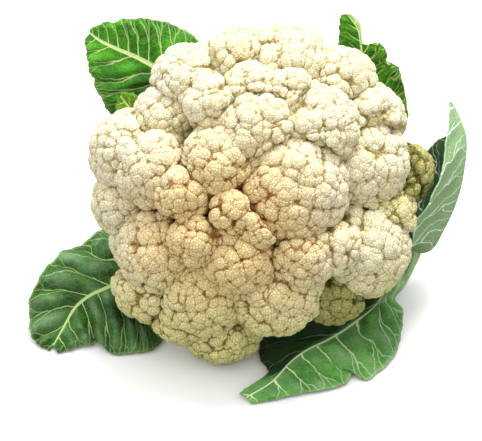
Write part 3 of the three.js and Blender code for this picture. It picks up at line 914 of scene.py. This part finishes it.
def leaf_group():
    """What every leaf's material shares: the colour of blade and veins on both faces, the net of
    fine veins between the large ones, mottling, bloom with a painted sheen on the ridges between
    veins, painted shade where the dark attribute is set, and the height of veins and net."""
    tree = bpy.data.node_groups.new("leaf_tissue", "ShaderNodeTree")
    for in_out, kind, names in (("INPUT", "Color", ("Blade", "Blade Dark", "Under", "Vein")),
                                ("INPUT", "Float", ("Bloom", "Vein Width")),
                                ("OUTPUT", "Color", ("Color",)),
                                ("OUTPUT", "Float", ("Roughness", "Height"))):
        for name in names:
            tree.interface.new_socket(name, in_out=in_out, socket_type="NodeSocket" + kind)
    nodes = Nodes(tree)
    given = nodes.add("NodeGroupInput").outputs
    result = nodes.add("NodeGroupOutput").inputs
    uv = nodes.add("ShaderNodeUVMap", uv_map="blade").outputs["UV"]
    place = nodes.add("ShaderNodeTexCoord").outputs["Object"]
    wander = nodes.spread(nodes.noise(place, 110.0, 2.0), 0.3, 0.7, -0.09, 0.09)
    phase = nodes.plus(nodes.attribute("phase"), wander)
    vein = vein_mask(nodes, phase, nodes.attribute("away"), given["Vein Width"])
    net = nodes.spread(nodes.cell_edge(uv, NET_CELLS, "2D"), 0.0, 0.06, 1.0, 0.0)
    fine = nodes.spread(nodes.cell_edge(uv, FINE_CELLS, "2D"), 0.0, 0.12, 1.0, 0.0)
    patches = nodes.spread(nodes.noise(place, 70.0, 4.0, 0.6), 0.35, 0.65)
    mist = nodes.spread(nodes.noise(uv, 45.0, 3.0), 0.4, 0.65)
    under = nodes.math("MAXIMUM", nodes.attribute("under"), nodes.attribute("turned"))
    blade = nodes.mix(patches, given["Blade"], given["Blade Dark"])
    # The leaf's own waxy bloom, laid on the ridges between veins, where it also stands for a painted
    # sheen.
    between = nodes.times(nodes.math("PINGPONG", phase, 0.5), 2.0)
    bloom_and_sheen = nodes.times(given["Bloom"], nodes.times(mist, between))
    blade = nodes.mix(bloom_and_sheen, blade, srgb(*BLOOM_AND_SHEEN_COLOUR))
    blade = nodes.mix(nodes.times(net, 0.18), blade, given["Vein"])
    blade = nodes.mix(nodes.times(fine, 0.08), blade, given["Vein"])
    back = nodes.mix(nodes.times(net, 0.3), given["Under"], given["Vein"])
    colour = nodes.mix(under, blade, back)
    colour = nodes.mix(nodes.times(nodes.attribute("margin"), 0.25), colour, given["Vein"])
    # Painted shade: where the dark attribute is set, blade and veins are darkened towards near-black
    # green.
    dark = nodes.attribute("dark")
    colour = nodes.mix(dark, colour, srgb(*SHADED_BLADE))
    vein_colour = nodes.mix(nodes.times(dark, 0.75), given["Vein"], srgb(*SHADED_VEIN))
    nodes.link(nodes.mix(vein, colour, vein_colour), result["Color"])
    rough = nodes.plus(0.5, nodes.times(patches, 0.12))
    nodes.link(nodes.plus(rough, nodes.times(under, 0.12)), result["Roughness"])
    # The net is sunk above and below; the large veins are sunk above and stand out below.
    raised = nodes.times(vein, nodes.spread(under, 0.0, 1.0, -1.0, 1.5))
    sunk = nodes.plus(nodes.times(net, 0.5), nodes.times(fine, 0.25))
    nodes.link(nodes.minus(raised, sunk), result["Height"])
    return tree


def leaf_material(name, tree, blade, dark, under, vein, bloom_and_sheen, vein_width):
    material, nodes, shader = new_material(name)
    group = nodes.add("ShaderNodeGroup", node_tree=tree)
    set_constants(group, Blade=srgb(*blade), Blade_Dark=srgb(*dark), Under=srgb(*under),
                  Vein=srgb(*vein), Bloom=bloom_and_sheen, Vein_Width=vein_width)
    nodes.link(group.outputs["Color"], shader.inputs["Base Color"])
    nodes.link(group.outputs["Roughness"], shader.inputs["Roughness"])
    nodes.bump(group.outputs["Height"], 0.6, 0.0006, shader)
    set_constants(shader, Specular_IOR_Level=0.14, Subsurface_Weight=0.15,
                  Subsurface_Radius=(0.5, 1.0, 0.3), Subsurface_Scale=0.001)
    return material


FIRST_LEAF_SEED = 40
tissue = leaf_group()
for index, (leaf_name, leaf) in enumerate(LEAVES.items()):
    leaf_look = leaf_material(leaf_name, tissue, *leaf["look"])
    make_leaf(leaf_name, leaf, leaf_look, FIRST_LEAF_SEED + index)


# ---- Stalk ----

# From the middle of the cut end to the shoulder inside the head: [radius, place on the axis].
STALK_PROFILE = (
    (0, -89.0), (6, -89.1), (14, -89.4), (20, -89.8), (22.6, -89.6), (24.2, -88.4),
    (25, -86), (25, -76), (24.6, -66), (23.4, -57), (21, -48), (16.5, -41), (12, -36),
    (8, -32.5), (4, -30.8), (0, -30.2),
)
STALK_GRID = (150, 200)  # points along the profile and around the axis
SCAR_SPACING, SCAR_DEPTH = 9.0, 0.8


def make_stalk():
    """The stalk as a profile turned about the head's axis: a cut end that dishes a little, a foot
    rounded over, a side with shallow scars and ribs, and a shoulder that narrows into the head."""
    rows, columns = STALK_GRID
    share = np.linspace(0, 1, rows)
    line = smooth_line(STALK_PROFILE, share)
    turn = np.linspace(0, 2 * np.pi, columns, endpoint=False)
    around = np.cos(turn)[:, None] * RIGHT + np.sin(turn)[:, None] * UP
    radius, place = np.maximum(line[:, 0], 0)[:, None], line[:, 1][:, None]
    flank = smoothstep(15, 22, radius)
    ribs = 0.35 * np.sin(17 * turn + 1.5 * np.sin(3 * turn))[None]
    ribs = ribs + 0.3 * np.sin(7 * turn + place / 9)
    past_scar = np.mod(place + 6 * np.sin(turn) + 88, SCAR_SPACING) - SCAR_SPACING / 2
    radius = radius + flank * (ribs - SCAR_DEPTH * np.exp(-(past_scar / 0.9) ** 2))
    end = smoothstep(0.2, 0, share)[:, None]
    rings = 0.25 * np.sin(radius * 1.9) * end * (1 - flank)
    points = HEAD + radius[..., None] * around[None] + (place + rings)[..., None] * AXIS
    # The first and last rows are one point each.
    flat = points.reshape(-1, 3)
    first, last = flat[:columns].mean(0)[None], flat[-columns:].mean(0)[None]
    points = np.concatenate([first, flat[columns:-columns], last])
    i, j = np.meshgrid(np.arange(rows), np.arange(columns + 1), indexing="ij")
    number = 1 + (i - 1) * columns + j % columns
    number[0], number[-1] = 0, len(points) - 1
    faces = whole_triangles(number.ravel()[grid_triangles(rows, columns + 1)])
    faces = turned_outwards(points, faces)
    pith = np.broadcast_to(end * (1 - flank), (rows, columns)).ravel()[columns:-columns]
    pith = np.concatenate([[1.0], pith, [0.0]])
    make_piece("stalk", points, faces, {"pith": pith}, stalk_material())


def stalk_material():
    material, nodes, shader = new_material("stalk")
    place = nodes.add("ShaderNodeTexCoord").outputs["Object"]
    streaks = nodes.noise(place, 120.0, 4.0, 0.6)
    patches = nodes.noise(place, 40.0, 3.0)
    side = nodes.mix(nodes.spread(streaks, 0.35, 0.65), srgb(206, 218, 160), srgb(180, 200, 128))
    side = nodes.mix(nodes.spread(patches, 0.55, 0.75), side, srgb(214, 200, 150))
    cut = nodes.mix(nodes.spread(streaks, 0.3, 0.7), srgb(232, 228, 190), srgb(214, 198, 140))
    nodes.link(nodes.mix(nodes.attribute("pith"), side, cut), shader.inputs["Base Color"])
    nodes.link(nodes.plus(0.45, nodes.times(streaks, 0.2)), shader.inputs["Roughness"])
    nodes.bump(streaks, 0.5, 0.0005, shader)
    set_constants(shader, Subsurface_Weight=0.2, Subsurface_Scale=0.003)
    return material


make_stalk()
